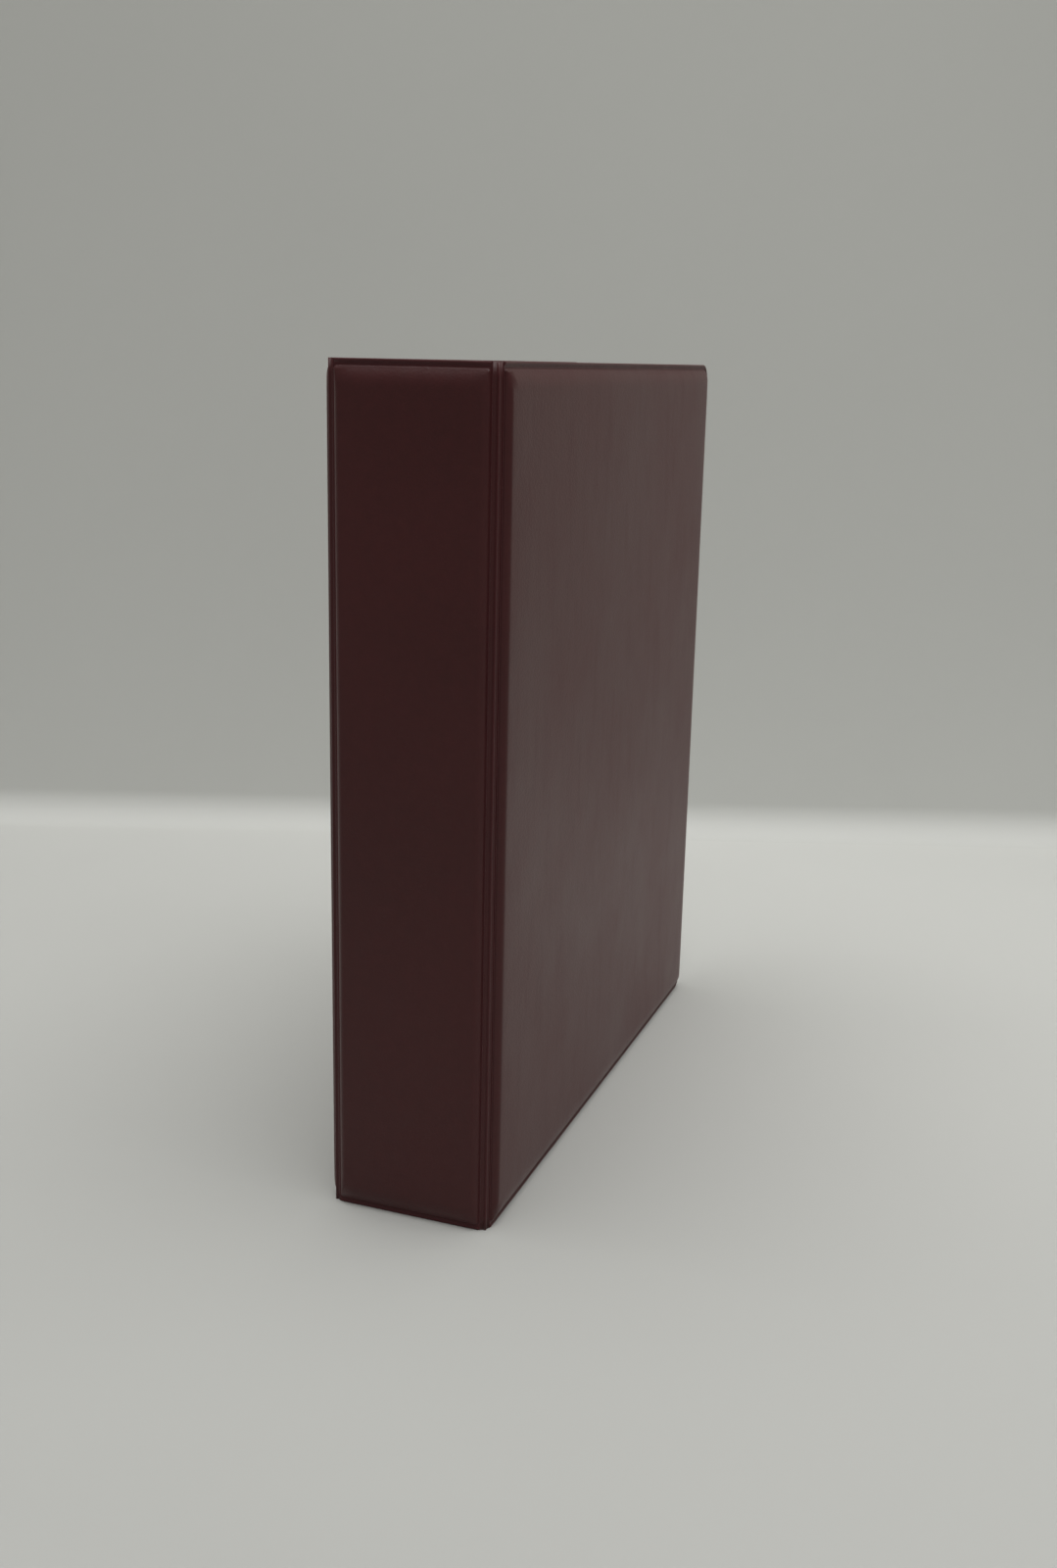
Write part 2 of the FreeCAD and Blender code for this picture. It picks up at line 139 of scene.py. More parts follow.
# ---- procedural detail: scales in features per metre, and relief heights ----
TONE_DRIFT = 18.0
MOTTLE = 260.0
PEBBLES = 1250.0
PITS = 3200.0
DENTS = 55.0
SCUFFS = 120.0
DRAWN_LINES = 900.0
STEEL_HAZE = 60.0
STEEL_SPOTS = 420.0
BOARD_FIBRE = 700.0
BOARD_FLECKS = 900.0
PAPER_CLOUDS = 3.0
PAPER_GRAIN = 900.0
GRAIN_RELIEF = 0.12 * MM
DENT_RELIEF = 0.6 * MM
LINE_RELIEF = 0.03 * MM
FIBRE_RELIEF = 0.1 * MM
PAPER_RELIEF = 0.2 * MM
NOISE_RANGE = (0.3, 0.7)                # where most of a noise texture's values lie
TONE_SPREAD = 0.12
TARNISH = 0.86

# ---- colours ----
MAROON = (0.048, 0.0058, 0.0062, 1.0)
# partly a painted highlight: the redder, lighter tone of the pressed weld, which on the flanges and the bead
# also stands for the light they catch
PRESSED_RED_AND_HIGHLIGHT = (0.056, 0.0060, 0.0078, 1.0)
NICKEL = (0.78, 0.76, 0.72, 1.0)
ZINC = (0.60, 0.61, 0.60, 1.0)
DUST = (0.12, 0.10, 0.08, 1.0)
BOARD_DARK = (0.19, 0.15, 0.11, 1.0)
BOARD_LIGHT = (0.30, 0.25, 0.19, 1.0)
BOARD_FLECK = (0.08, 0.06, 0.05, 1.0)
BLACK = (0.0, 0.0, 0.0, 1.0)
# painted light: the floor and the wall are painted lighter at one end and darker at the other, where more and
# less light falls
FLOOR_NEAR_PAINTED_LIGHT = (0.46, 0.463, 0.444, 1.0)
FLOOR_FAR_PAINTED_LIGHT = (0.61, 0.613, 0.588, 1.0)
WALL_LOW_PAINTED_LIGHT = (0.595, 0.60, 0.575, 1.0)
WALL_HIGH_PAINTED_LIGHT = (0.435, 0.438, 0.412, 1.0)


# ======================================================================================
# materials
# ======================================================================================

class Nodes:
    """A material's node tree, with short calls for the nodes used below."""

    def __init__(self, name):
        self.material = bpy.data.materials.new(name)
        self.material.use_nodes = True
        self.tree = self.material.node_tree
        self.shader = self.tree.nodes["Principled BSDF"]

    def node(self, kind, settings=(), inputs=()):
        made = self.tree.nodes.new(kind)
        for key, value in dict(settings).items():
            setattr(made, key, value)
        for key, value in dict(inputs).items():
            self.give(made.inputs[key], value)
        return made

    def give(self, socket, value):
        """Link a socket or set a plain value."""
        if isinstance(value, bpy.types.NodeSocket):
            self.tree.links.new(value, socket)
        else:
            socket.default_value = value

    def place(self, scale=(1.0, 1.0, 1.0)):
        at = self.node("ShaderNodeTexCoord").outputs["Object"]
        return self.node("ShaderNodeMapping", inputs={"Vector": at, "Scale": scale}).outputs["Vector"]

    def noise(self, at, scale, detail=3.0, roughness=0.5):
        made = self.node("ShaderNodeTexNoise", inputs={
            "Vector": at, "Scale": scale, "Detail": detail, "Roughness": roughness})
        return made.outputs["Fac"]

    def cells(self, at, scale, feature="F1"):
        made = self.node("ShaderNodeTexVoronoi", {"feature": feature}, {"Vector": at, "Scale": scale})
        return made.outputs["Distance"]

    def ramp(self, value, low, high, to_low, to_high):
        made = self.node("ShaderNodeMapRange", inputs={
            "Value": value, "From Min": low, "From Max": high, "To Min": to_low, "To Max": to_high})
        return made.outputs["Result"]

    def spread(self, noise, to_low, to_high):
        """A noise texture's usual range, taken to another range."""
        return self.ramp(noise, *NOISE_RANGE, to_low, to_high)

    def math(self, operation, first, second):
        made = self.node("ShaderNodeMath", {"operation": operation})
        self.give(made.inputs[0], first)
        self.give(made.inputs[1], second)
        return made.outputs[0]

    def mix(self, factor, first, second):
        made = self.node("ShaderNodeMix", {"data_type": "RGBA"})
        self.give(made.inputs["Factor"], factor)
        self.give(made.inputs["A"], first)
        self.give(made.inputs["B"], second)
        return made.outputs["Result"]

    def attribute(self, name):
        return self.node("ShaderNodeAttribute", {"attribute_name": name}).outputs["Fac"]

    def bump(self, height, strength, distance, below=None):
        inputs = {"Height": height, "Strength": strength, "Distance": distance}
        if below is not None:
            inputs["Normal"] = below
        return self.node("ShaderNodeBump", inputs=inputs).outputs["Normal"]

    def finish(self, **values):
        for key, value in values.items():
            self.give(self.shader.inputs[key.replace("_", " ")], value)
        return self.material


def scaled(colour, share):
    return tuple(c * share for c in colour[:3]) + (1.0,)


def vinyl(name, colour, pressed_and_highlight_colour, gloss_low, gloss_high, grain):
    """Calendered vinyl with a fine leather grain, scuffs, and a redder, lighter tone where it is pressed
    thin: partly the vinyl's own tone, partly a painted highlight on the flanges and the bead.
    """
    n = Nodes(name)
    at = n.place()
    drift = n.noise(at, TONE_DRIFT, 4.0)
    mottle = n.noise(at, MOTTLE, 3.0)
    tone = n.math("ADD", n.spread(drift, 0.0, 0.6), n.spread(mottle, 0.0, 0.4))
    body = n.mix(tone, scaled(colour, 1.0 - TONE_SPREAD), scaled(colour, 1.0 + TONE_SPREAD))
    # partly a painted highlight: the weld tone mixes in the redder, lighter colour where the vinyl is pressed
    shade = n.mix(n.attribute("weld"), body, pressed_and_highlight_colour)
    pebbles = n.cells(at, PEBBLES, "SMOOTH_F1")
    pits = n.noise(at, PITS, 2.0)
    grain_height = n.math("ADD", n.math("MULTIPLY", pebbles, 0.9), n.math("MULTIPLY", pits, 0.5))
    fine = n.bump(grain_height, grain, GRAIN_RELIEF)
    wide = n.bump(n.noise(at, DENTS, 3.0), 0.25, DENT_RELIEF, fine)
    scuff = n.noise(n.place((1.0, 1.0, 0.18)), SCUFFS, 5.0, 0.65)
    gloss = n.math("ADD", n.spread(drift, gloss_low, gloss_high), n.ramp(scuff, 0.5, 0.75, 0.0, 0.045))
    return n.finish(Base_Color=shade, Roughness=gloss, Normal=wide, IOR=1.40, Sheen_Weight=0.11,
                    Sheen_Roughness=0.4, Sheen_Tint=(1.0, 0.74, 0.70, 1.0))


def plated(name, colour, low, high, brushed):
    """Nickel or zinc plated steel with fine drawing lines, a little tarnish and specks of dust."""
    n = Nodes(name)
    at = n.place()
    lines = n.noise(n.place(brushed), DRAWN_LINES, 4.0, 0.6)
    haze = n.noise(at, STEEL_HAZE, 4.0)
    spots = n.cells(at, STEEL_SPOTS)
    shade = n.mix(n.ramp(haze, 0.42, 0.72, 0.0, 0.5), colour, scaled(colour, TARNISH))
    shade = n.mix(n.ramp(spots, 0.0, 0.06, 0.12, 0.0), shade, DUST)
    rough = n.math("ADD", n.spread(haze, low, high), n.spread(lines, 0.0, 0.05))
    normal = n.bump(lines, 0.10, LINE_RELIEF)
    return n.finish(Base_Color=shade, Roughness=rough, Normal=normal, Metallic=1.0)


def chipboard():
    """Grey-brown pressed board with flecks."""
    n = Nodes("chipboard")
    at = n.place()
    fibre = n.noise(n.place((1.0, 1.0, 3.0)), BOARD_FIBRE, 5.0, 0.7)
    flecks = n.cells(at, BOARD_FLECKS)
    shade = n.mix(n.spread(fibre, 0.0, 1.0), BOARD_DARK, BOARD_LIGHT)
    shade = n.mix(n.ramp(flecks, 0.0, 0.15, 0.6, 0.0), shade, BOARD_FLECK)
    return n.finish(Base_Color=shade, Roughness=n.spread(fibre, 0.75, 0.95),
                    Normal=n.bump(fibre, 0.4, FIBRE_RELIEF))


def painted_light_paper(name, axis, start, end, first, last):
    """Matt paper with painted light: its tone drifts along one axis, lighter where more light falls, with a
    barely visible unevenness.
    """
    n = Nodes(name)
    at = n.place()
    along = n.node("ShaderNodeSeparateXYZ", inputs={"Vector": at}).outputs[axis]
    # painted light: the tone drifts from the first colour to the last along the axis
    drift = n.mix(n.ramp(along, start, end, 0.0, 1.0), first, last)
    cloud = n.spread(n.noise(at, PAPER_CLOUDS, 3.0), 0.0, 0.03)
    shade = n.mix(cloud, drift, BLACK)
    grain = n.bump(n.noise(at, PAPER_GRAIN, 2.0), 0.05, PAPER_RELIEF)
    n.finish(Base_Color=shade, Roughness=0.7, Normal=grain)
    return n


def one_sided(nodes):
    """Lets light and sight through from behind."""
    clear = nodes.node("ShaderNodeBsdfTransparent")
    behind = nodes.node("ShaderNodeNewGeometry").outputs["Backfacing"]
    both = nodes.node("ShaderNodeMixShader", inputs={"Fac": behind})
    nodes.tree.links.new(nodes.shader.outputs[0], both.inputs[1])
    nodes.tree.links.new(clear.outputs[0], both.inputs[2])
    output = nodes.tree.nodes["Material Output"]
    nodes.tree.links.new(both.outputs[0], output.inputs["Surface"])
    return nodes.material


def dress(piece, material):
    """The material in all of the piece's slots."""
    slots = piece.data.materials
    if not slots:
        slots.append(material)
    for index in range(len(slots)):
        slots[index] = material


# ======================================================================================
# mesh helpers
# ======================================================================================

def mesh_piece(name, points, faces, attributes=()):
    """A smooth-shaded piece from points and faces, with point attributes."""
    mesh = bpy.data.meshes.new(name)
    mesh.from_pydata([tuple(p) for p in points], [], faces)
    for key, values in dict(attributes).items():
        layer = mesh.attributes.new(key, "FLOAT", "POINT")
        layer.data.foreach_set("value", values)
    work = bmesh.new()
    work.from_mesh(mesh)
    bmesh.ops.remove_doubles(work, verts=work.verts, dist=1e-7)
    bmesh.ops.recalc_face_normals(work, faces=work.faces)
    work.to_mesh(mesh)
    work.free()
    mesh.shade_smooth()
    piece = bpy.data.objects.new(name, mesh)
    bpy.context.scene.collection.objects.link(piece)
    return piece


def smoothstep(value):
    value = max(0.0, min(1.0, value))
    return value * value * (3 - 2 * value)


def ripple(a, b, wavelength, seed):
    """Smooth unevenness between about -1 and 1."""
    return noise.noise(Vector((a / wavelength, b / wavelength, seed)))


def outline(rect, radii, cells):
    """Points counter-clockwise round a rectangle. Its start and its end have their own corner radii."""
    start, bottom, end, top = rect
    corners = [(end, bottom, radii[1], -1, 1), (end, top, radii[1], -1, -1),
               (start, top, radii[0], 1, -1), (start, bottom, radii[0], 1, 1)]
    arcs = []
    for quarter, (a, b, radius, inward_a, inward_b) in enumerate(corners):
        centre_a = a + inward_a * radius
        centre_b = b + inward_b * radius
        angles = [math.radians(90 * (quarter - 1 + step / ARC_STEPS)) for step in range(ARC_STEPS + 1)]
        arcs.append([(centre_a + radius * math.cos(t), centre_b + radius * math.sin(t)) for t in angles])
    points = []
    for quarter, arc in enumerate(arcs):
        points += arc
        following = arcs[(quarter + 1) % 4][0]
        count = cells[1] if quarter % 2 == 0 else cells[0]
        for step in range(1, count):
            share = step / count
            points.append((arc[-1][0] + (following[0] - arc[-1][0]) * share,
                           arc[-1][1] + (following[1] - arc[-1][1]) * share))
    return points


def border_of_grid(cells):
    """Grid places of the outline's points, in the outline's order, when its corners are sharp."""
    across, up = cells
    places = [(across, 0)] * (ARC_STEPS + 1) + [(across, k) for k in range(1, up)]
    places += [(across, up)] * (ARC_STEPS + 1) + [(across - k, up) for k in range(1, across)]
    places += [(0, up)] * (ARC_STEPS + 1) + [(0, up - k) for k in range(1, up)]
    places += [(0, 0)] * (ARC_STEPS + 1) + [(k, 0) for k in range(1, across)]
    return places


class FormedSheet:
    """A closed thin shell over a rounded rectangle, shaped by a profile from its rim to its flat middle."""

    def __init__(self, size, flanges, start_radii, end_radii, place, wave, puff=0.0, pull=None):
        self.size = size
        self.flanges = flanges
        self.start_radii = start_radii
        self.end_radii = end_radii
        self.place = place
        self.wave = wave
        self.puff = puff
        self.pull = pull
        self.cells = [max(6, round(length / CELL)) for length in size]
        self.squeezes = [HINGE_SQUEEZE if flange == HINGE_FLANGE else 1.0 for flange in flanges]
        self.points = []
        self.weld = []
        self.faces = []

    def inset(self, distance, flange, squeeze):
        """How far in a loop lies on one side: the shoulder is steeper on a hinge side."""
        if distance <= WELD_FLANGE:
            return distance * flange / WELD_FLANGE
        return flange + (distance - WELD_FLANGE) * squeeze

    def radius(self, distance, radii):
        share = min(distance / WELD_FLANGE, 1.0)
        beyond = max(distance - WELD_FLANGE, 0.0)
        return max(radii[0] + (radii[1] - radii[0]) * share - beyond, 0.0)

    def rect(self, distance):
        start, end, level = (self.inset(distance, *pair) for pair in zip(self.flanges, self.squeezes))
        return start, level, self.size[0] - end, self.size[1] - level

    def rise(self, a, b):
        """How far the sheet stands off the board, from nothing at the board's edge to the full puff."""
        start, bottom, end, top = self.rect(PUFF_STARTS)
        shares = []
        for gap in (min(a - start, end - a), min(b - bottom, top - b)):
            shares.append(1.0 - math.exp(-max(gap, 0.0) / PUFF_REACH))
        return self.puff * shares[0] * shares[1]

    def beside_hinge(self, a):
        """Whether a place is on the narrow flange that a hinge web joins."""
        starts = self.squeezes[0] < 1.0 and a <= HINGE_FLANGE
        ends = self.squeezes[1] < 1.0 and self.size[0] - a <= HINGE_FLANGE
        return starts or ends

    def add(self, a, b, height, distance):
        if distance < WELD_FLANGE and self.beside_hinge(a):
            height = min(height, HINGE_FOOT)
        relief = self.rise(a, b) + self.wave(a, b, distance)
        if self.pull:
            relief *= self.pull(a, b)
        self.points.append(self.place(a, b, height + relief))
        # partly a painted highlight: the flange gets the redder, lighter weld tone, full at the rim and
        # fading out past the flange
        self.weld.append(1.0 - smoothstep((distance / WELD_FLANGE - FLANGE_TONE_ENDS) / FLANGE_TONE_FADE))
        return len(self.points) - 1

    def loop(self, distance, height):
        radii = (self.radius(distance, self.start_radii), self.radius(distance, self.end_radii))
        corners = outline(self.rect(distance), radii, self.cells)
        return [self.add(a, b, height, distance) for a, b in corners]

    def middle(self, distance, height):
        """The flat middle as a grid: returns the vertices that its border shares with an outline."""
        start, bottom, end, top = self.rect(distance)
        across, up = self.cells
        grid = {}
        for i in range(across + 1):
            for j in range(up + 1):
                a = start + (end - start) * i / across
                b = bottom + (top - bottom) * j / up
                grid[i, j] = self.add(a, b, height, distance)
        for i in range(across):
            for j in range(up):
                self.faces.append((grid[i, j], grid[i + 1, j], grid[i + 1, j + 1], grid[i, j + 1]))
        return [grid[place] for place in border_of_grid(self.cells)]

    def bridge(self, first, second):
        count = len(first)
        for k in range(count):
            following = (k + 1) % count
            corners = (first[k], first[following], second[following], second[k])
            face = tuple(dict.fromkeys(corners))
            if len(face) > 2:
                self.faces.append(face)

    def side(self, profile):
        """One face of the sheet: returns its rim."""
        loops = [self.loop(distance, height) for distance, height in profile[:-1]]
        loops.append(self.middle(*profile[-1]))
        for first, second in zip(loops, loops[1:]):
            self.bridge(first, second)
        return loops[0]

    def build(self, name, upper, lower):
        self.bridge(self.side(upper), self.side(lower))
        return mesh_piece(name, self.points, self.faces, {"weld": self.weld})


# ======================================================================================
# vinyl pieces
# ======================================================================================

def rounded_edge(height):
    """Distances and heights of the soft shoulder where the skin rolls over the board's crushed edge: an arc
    that ends level with the flat."""
    rise = height - SHOULDER_FOOT
    radius = (ROUND_REACH ** 2 + rise ** 2) / (2 * rise)
    shoulder = []
    for share in ROUND_LOOPS:
        left = ROUND_REACH * (1.0 - share)
        drop = radius - math.sqrt(radius ** 2 - left ** 2)
        shoulder.append((ROUND_STARTS + ROUND_REACH * share, height - drop))
    return shoulder


def skin_profile(height):
    """Distance in from the rim and height over the skin's base: flange, pressed crease, shoulder, flat."""
    flange = [(0.0, 0.10), (0.03, 0.26), (0.12, 0.40), (0.35, 0.47), (0.65, 0.45), (0.90, 0.30), (1.10, 0.13)]
    crease = [(1.32, 0.05), (2.00, 0.05), (2.10, 0.12), (2.17, 0.34), (2.26, 0.57), (2.37, 0.69)]
    profile = [(d * MM, h * MM) for d, h in flange + crease] + rounded_edge(height)
    return profile + [(d * MM, height) for d in PUFF_LOOPS]


def over_board(height, below):
    """The part of a profile that follows the skin's outer face over the board, a little below it."""
    profile = []
    for distance, outer in rounded_edge(height):
        if distance > BOARD_STARTS + 0.02 * MM:
            profile.append((distance, outer - below))
    return profile + [(d * MM, height - below) for d in PUFF_LOOPS]


def under_profile(height):
    """The skin's hidden face, against the liner and the board."""
    return [(0.0, 0.02 * MM), (0.2 * MM, 0.0), (BOARD_STARTS, 0.0)] + over_board(height, SKIN)


def board_profile(height):
    """The board's outer face, crushed round along its edges."""
    return [(BOARD_STARTS, BOARD_FOOT)] + over_board(height, SKIN_TO_BOARD)


def rivet_pull(place):
    """Share of the puff that is left at a place of the back cover, where the rivets pull the skin tight."""
    low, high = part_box("rivet_caps")
    radius = (high[1] - low[1]) / 2
    y = (low[1] + high[1]) / 2

    def share(a, b):
        point = place(a, b, 0.0)
        left = 1.0
        for z in (low[2] + radius, high[2] - radius):
            gap = max(math.hypot(point[1] - y, point[2] - z) - radius, 0.0)
            left = min(left, smoothstep(gap / RIVET_DIMPLE))
        return left

    return share


def panel_wave(size, seed):
    """Unevenness of a panel: slow waves and a bow over the board, quick small waves along the flange."""
    def wave(a, b, distance):
        board = smoothstep((distance - ROUND_STARTS) / WAVE_FADE)
        slow = ripple(a, b, LONG_WAVE, seed) + 0.5 * ripple(a, b, SHORT_WAVE, seed + 5)
        stripes = ripple(a, b * STRIPE_STRETCH, STRIPE_WAVE, seed + 9)
        rim = 1.0 - smoothstep(distance / WELD_FLANGE)
        edge = ripple(a, b, EDGE_WAVE, seed + 14)
        bow = WAVE * BOW * math.sin(math.pi * b / size[1]) * board
        return board * WAVE * (slow + 0.3 * stripes) + rim * FLANGE_WAVE * edge + bow
    return wave


def stand_in(piece, node, body, slot):
    """The piece takes the place of a CAD node, with a slot's finish, and rides on a body."""
    dress(piece, MATERIALS[slot])
    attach(piece, body)
    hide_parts(node)


def skin(name, node, body, place, size, flanges, end_radii, height, seed, pull):
    """The formed outer vinyl of one panel."""
    sheet = FormedSheet(size, flanges, HINGE_RADII, end_radii, place, panel_wave(size, seed), PUFF, pull)
    piece = sheet.build(name, skin_profile(height), under_profile(height))
    stand_in(piece, node, body, "cover_vinyl")


def board(name, node, body, place, size, flanges, end_radii, height):
    """Chipboard slab inside a panel."""
    sheet = FormedSheet(size, flanges, HINGE_RADII, end_radii, place, lambda a, b, distance: 0.0)
    piece = sheet.build(name, board_profile(height), [(BOARD_STARTS, 0.0), (BOARD_BACK, 0.0)])
    stand_in(piece, node, body, "board")


def liner(name, node, body, place, size, flanges, end_radii, seed):
    """Flat inner vinyl with the pressed weld line round its edge."""
    low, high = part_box(node)
    thickness = min(high[0] - low[0], high[1] - low[1])

    def wave(a, b, distance):
        inside = smoothstep((distance - LINER_WAVE_STARTS) / LINER_WAVE_FADE)
        return inside * LINER_WAVE * (ripple(a, b, LINER_WAVELENGTH, seed) - 0.8)

    sheet = FormedSheet(size, flanges, HINGE_RADII, end_radii, place, wave)
    groove = thickness * LINER_GROOVE
    upper = [(0.0, LINER_RIM), (0.06 * MM, thickness), (1.2 * MM, thickness), (1.45 * MM, groove),
             (1.75 * MM, groove), (2.05 * MM, thickness), (3.0 * MM, thickness), (LINER_MIDDLE, thickness)]
    lower = [(0.0, 0.0), (LINER_MIDDLE, 0.0)]
    piece = sheet.build(name, upper, lower)
    stand_in(piece, node, body, "liner_vinyl")


def panel_place(node, side):
    """A function that puts (along the panel, up, height over the base) into the row frame, and the panel's
    size. side is +1 for the front cover, -1 for the back cover and 0 for the spine."""
    low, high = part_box(node)
    up = high[2] - low[2]
    if side == 0:
        return (lambda a, b, h: (low[0] + a, high[1] - h, low[2] + b)), (high[0] - low[0], up)
    base = low[0] if side > 0 else high[0]
    return (lambda a, b, h: (base + side * h, low[1] + a, low[2] + b)), (high[1] - low[1], up)


def inner_place(node, side):
    """As panel_place, for a liner, with height counted towards the inside of the case."""
    low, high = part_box(node)
    up = high[2] - low[2]
    if side == 0:
        return (lambda a, b, h: (low[0] + a, low[1] + h, low[2] + b)), (high[0] - low[0], up)
    base = high[0] if side > 0 else low[0]
    return (lambda a, b, h: (base - side * h, low[1] + a, low[2] + b)), (high[1] - low[1], up)


def make_panel(part, body, side, seed, riveted=False):
    """Outer skin, board and liner of the spine or of a cover."""
    free_edge = HINGE_FLANGE if side == 0 else WELD_FLANGE
    end_radii = HINGE_RADII if side == 0 else FORE_RADII
    flanges = (HINGE_FLANGE, free_edge, WELD_FLANGE)
    skin_node = part + "_outer_vinyl"
    place, size = panel_place(skin_node, side)
    low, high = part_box(skin_node)
    height = min(high[0] - low[0], high[1] - low[1])
    pull = rivet_pull(place) if riveted else None
    skin(part + "_skin", skin_node, body, place, size, flanges, end_radii, height, seed, pull)
    board(part + "_board_slab", part + "_board", body, place, size, flanges, end_radii, height)
    place, size = inner_place(part + "_inner_liner", side)
    liner(part + "_liner", part + "_inner_liner", body, place, size, flanges, end_radii, seed + 3)


def bead_relief(along, middle):
    """Height of the web's outer face over plain: a bead in the middle and pressed-down strips beside it."""
    offset = along - middle
    bead = BEAD_HEIGHT * math.exp(-((offset / BEAD_WIDTH) ** 4))
    groove = GROOVE_DEPTH * (1.0 - math.exp(-((offset / GROOVE_AT) ** 4)))
    return bead - groove


def hinge_web(name, node, side):
    """Quarter-round strip of doubled vinyl with a welded bead, bent round between the spine and a cover. It
    runs on a little inside the panels' edges."""
    low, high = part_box(node)
    liner_low, liner_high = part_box("spine_inner_liner")
    thickness = SKIN + (liner_high[1] - liner_low[1])
    near_x = low[0] if side > 0 else high[0]
    outer_radius = high[1] - low[1]
    radius = outer_radius - thickness / 2
    centre = Vector((near_x, high[1], 0.0))
    length = radius * math.pi / 2
    rows = round((high[2] - low[2]) / CELL)
    lap = WEB_LAP / length
    lap_outer = outer_radius - GROOVE_DEPTH + WEB_LAP_STEP
    lap_inner = outer_radius - thickness + WEB_LAP_STEP
    section = [(-lap, lap_outer)]
    for step in range(WEB_STEPS + 1):
        share = step / WEB_STEPS
        relief = bead_relief(share * length, length / 2) - WEB_SAG * math.sin(share * math.pi)
        section.append((share, outer_radius + relief))
    section += [(1.0 + lap, lap_outer), (1.0 + lap, lap_inner)]
    for step in reversed(range(WEB_STEPS + 1)):
        share = step / WEB_STEPS
        sag = WEB_SAG * math.sin(share * math.pi)
        section.append((share, outer_radius - thickness - sag))
    section.append((-lap, lap_inner))
    count = len(section)
    points = []
    weld = []
    for row in range(rows + 1):
        z = low[2] + (high[2] - low[2]) * row / rows
        sway = WEB_SWAY * ripple(z, 0.0, SWAY_WAVE, 21.0 + side)
        for share, reach in section:
            angle = share * math.pi / 2
            reach += sway * math.sin(share * math.pi)
            points.append(centre + Vector((side * reach * math.sin(angle), -reach * math.cos(angle), z)))
            # partly a painted highlight: the bead carries the redder, lighter weld tone, strongest in the
            # middle of the arc
            weld.append(WEB_TONE + BEAD_TONE * math.exp(-((share - 0.5) / BEAD_TONE_WIDTH) ** 2))
    faces = []
    for row in range(rows):
        for k in range(count):
            following = (k + 1) % count
            first = row * count
            second = first + count
            faces.append((first + k, first + following, second + following, second + k))
    for row in (0, rows):
        first = row * count
        for k in range(count // 2 - 1):
            faces.append((first + k, first + k + 1, first + count - 2 - k, first + count - 1 - k))
    piece = mesh_piece(name, points, faces, {"weld": weld})
    dress(piece, MATERIALS["cover_vinyl"])
    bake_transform(piece)
    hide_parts(node)


def pocket(name, node, body, side, seed):
    """Pocket sheet welded along its sides and bottom, slack at its open top edge."""
    low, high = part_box(node)
    size = (high[1] - low[1], high[2] - low[2])
    base = high[0] if side > 0 else low[0]
    cells = [round(length / POCKET_CELL) for length in size]
    corner = POCKET_CORNER

    def lift(a, b):
        from_side = min(a, size[0] - a)
        weld_side = smoothstep((from_side - POCKET_WELD) / POCKET_SIDE_RISE)
        weld_low = smoothstep((b - POCKET_WELD) / POCKET_FOOT_RISE)
        open_edge = POCKET_FOOT_SHARE + (1.0 - POCKET_FOOT_SHARE) * smoothstep(b / size[1])
        slack = 1.0 + POCKET_SLACK * ripple(a, b, POCKET_WAVE, seed)
        return POCKET_BULGE * weld_side * weld_low * open_edge * slack

    def groove(a, b):
        distance = min(a, size[0] - a, b)
        return POCKET_GROOVE * math.exp(-(((distance - POCKET_GROOVE_AT) / POCKET_GROOVE_WIDTH) ** 2))

    def bent_in(a, b):
        """Keeps the bottom corners round."""
        near = corner - min(a, size[0] - a)
        under = corner - b
        if near <= 0 or under <= 0 or math.hypot(near, under) <= corner:
            return a, b
        scale = corner / math.hypot(near, under)
        inward = corner - near * scale
        return (inward if a < size[0] / 2 else size[0] - inward), corner - under * scale

    points = []
    weld = []
    for layer in (0, 1):
        for i in range(cells[0] + 1):
            for j in range(cells[1] + 1):
                share_a = 0.5 - 0.5 * math.cos(math.pi * i / cells[0])
                share_b = 1.0 - math.cos(0.5 * math.pi * j / cells[1])
                a, b = bent_in(share_a * size[0], share_b * size[1])
                height = lift(a, b) + layer * (POCKET_SHEET - groove(a, b))
                points.append((base - side * height, low[1] + a, low[2] + b))
                weld.append(POCKET_TONE * (1.0 - smoothstep(min(a, size[0] - a, b) / POCKET_TONE_WIDTH)))
    across, up = cells
    layer_size = (across + 1) * (up + 1)

    def index(layer, i, j):
        return layer * layer_size + i * (up + 1) + j

    faces = []
    for layer in (0, 1):
        for i in range(across):
            for j in range(up):
                faces.append((index(layer, i, j), index(layer, i + 1, j),
                              index(layer, i + 1, j + 1), index(layer, i, j + 1)))
    rim = [(i, 0) for i in range(across)] + [(across, j) for j in range(up)]
    rim += [(i, up) for i in range(across, 0, -1)] + [(0, j) for j in range(up, 0, -1)]
    for k, (i, j) in enumerate(rim):
        next_i, next_j = rim[(k + 1) % len(rim)]
        faces.append((index(0, i, j), index(0, next_i, next_j), index(1, next_i, next_j), index(1, i, j)))
    piece = mesh_piece(name, points, faces, {"weld": weld})
    stand_in(piece, node, body, "pocket_vinyl")


# ======================================================================================
# steel pieces
# ======================================================================================

def soften(node, width):
    """Small rounded edges on a CAD node, as a modifier."""
    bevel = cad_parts[node].modifiers.new("soft edges", "BEVEL")
    bevel.width = width
    bevel.segments = 2
    bevel.limit_method = "ANGLE"
    bevel.angle_limit = SHARP_EDGE


STEEL_FINISH = {
    "ring_cover_plate": "plate_steel",
    "straight_side_blade": "blade_steel",
    "curved_side_blade": "blade_steel",
    "trigger_top": "lever_steel",
    "trigger_bottom": "lever_steel",
    "trigger_pin_top": "pin_steel",
    "trigger_pin_bottom": "pin_steel",
    "rivet_posts": "rivet_steel",
    "rivet_caps": "rivet_steel",
}


